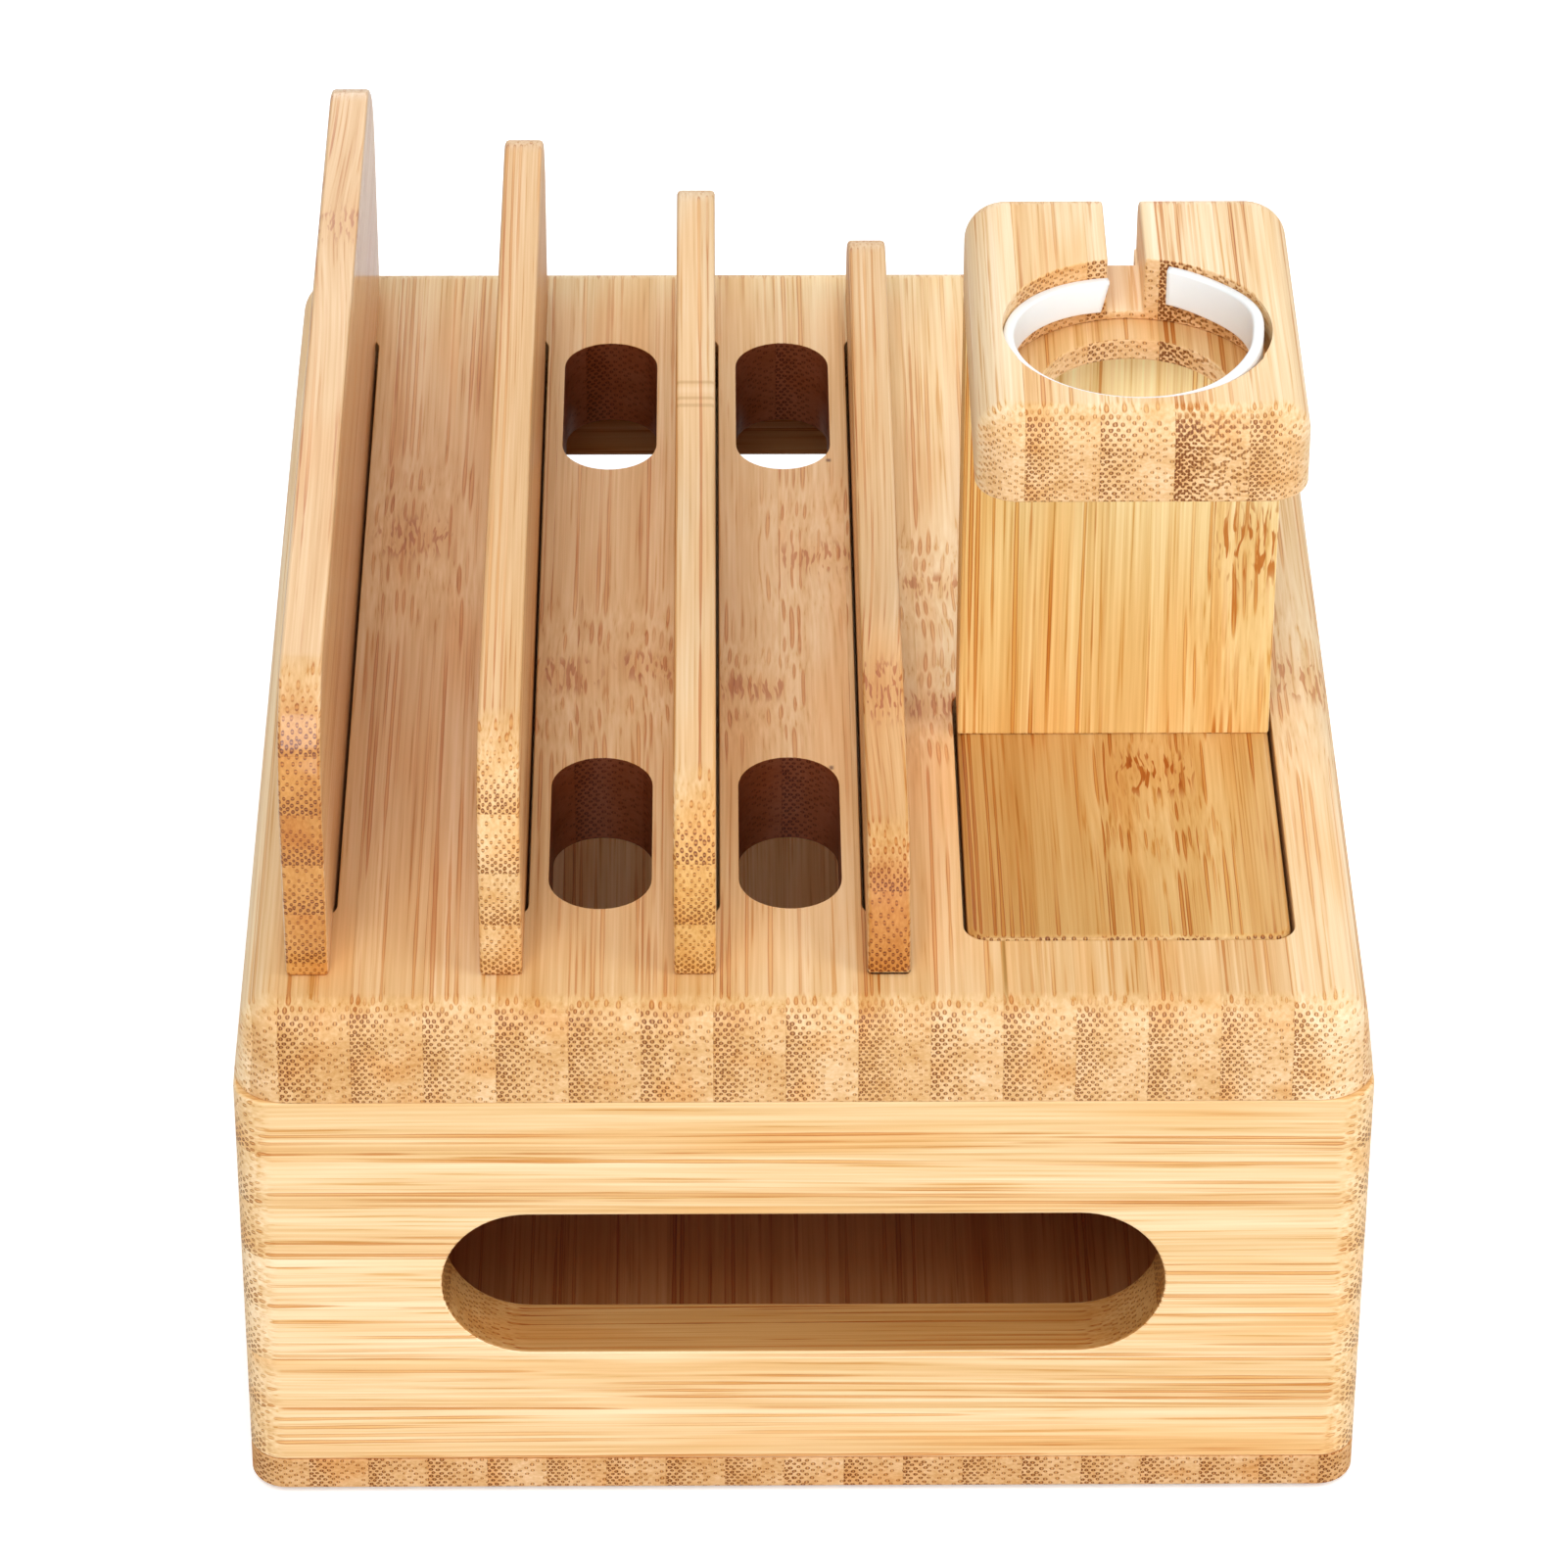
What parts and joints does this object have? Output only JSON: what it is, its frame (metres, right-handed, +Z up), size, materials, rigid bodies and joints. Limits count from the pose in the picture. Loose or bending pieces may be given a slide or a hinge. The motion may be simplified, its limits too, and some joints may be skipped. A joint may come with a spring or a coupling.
{
  "type": "charging station organizer",
  "caption": "Bamboo box for a multi-port charger, with a lift-off lid, upright device dividers that stand in grooves, cable openings and a watch stand with a charger seat.",
  "frame": {"origin": "middle of the footprint, on the surface that the rubber pads stand on", "axes": "+X to the right as the front is seen, +Y from the front wall to the back wall, +Z up"},
  "size_m": [0.134, 0.175, 0.1398],
  "materials": {
    "rubber": "matt black rubber",
    "bamboo_base": "satin clear lacquer on laminated bamboo",
    "bamboo_wall": "satin clear lacquer on laminated bamboo",
    "bamboo_lid": "satin clear lacquer on laminated bamboo",
    "bamboo_divider": "satin clear lacquer on laminated bamboo",
    "bamboo_stand": "satin clear lacquer on laminated bamboo",
    "dowel_wood": "bare fluted wood",
    "white_silicone": "matt white silicone"
  },
  "bodies": {
    "box": {"foot_pads": "rubber", "bottom_plate": "bamboo_base", "front_wall": "bamboo_wall", "back_wall": "bamboo_wall", "left_wall": "bamboo_wall", "right_wall": "bamboo_wall", "wall_dowels": "dowel_wood", "lid_pegs": "dowel_wood"},
    "lid": {"lid": "bamboo_lid"},
    "divider_1": {"divider_1": "bamboo_divider"},
    "divider_2": {"divider_2": "bamboo_divider"},
    "divider_3": {"divider_3": "bamboo_divider"},
    "divider_4": {"divider_4": "bamboo_divider"},
    "stand": {"stand_foot": "bamboo_stand", "foot_dowels": "dowel_wood", "stand_post": "bamboo_stand", "head_dowels": "dowel_wood", "head_plate": "bamboo_stand", "head_block": "bamboo_stand", "grip_ring": "white_silicone"}
  },
  "joints": [
    {"name": "lid_lift", "type": "slide", "parent": "box", "child": "lid", "axis": [0, 0, 1], "range_m": [0, 0.08]},
    {"name": "divider_1_lift", "type": "slide", "parent": "lid", "child": "divider_1", "axis": [0, 0, 1], "range_m": [0, 0.04]},
    {"name": "divider_2_lift", "type": "slide", "parent": "lid", "child": "divider_2", "axis": [0, 0, 1], "range_m": [0, 0.04]},
    {"name": "divider_3_lift", "type": "slide", "parent": "lid", "child": "divider_3", "axis": [0, 0, 1], "range_m": [0, 0.04]},
    {"name": "divider_4_lift", "type": "slide", "parent": "lid", "child": "divider_4", "axis": [0, 0, 1], "range_m": [0, 0.04]},
    {"name": "stand_lift", "type": "slide", "parent": "lid", "child": "stand", "axis": [0, 0, 1], "range_m": [0, 0.04]}
  ]
}
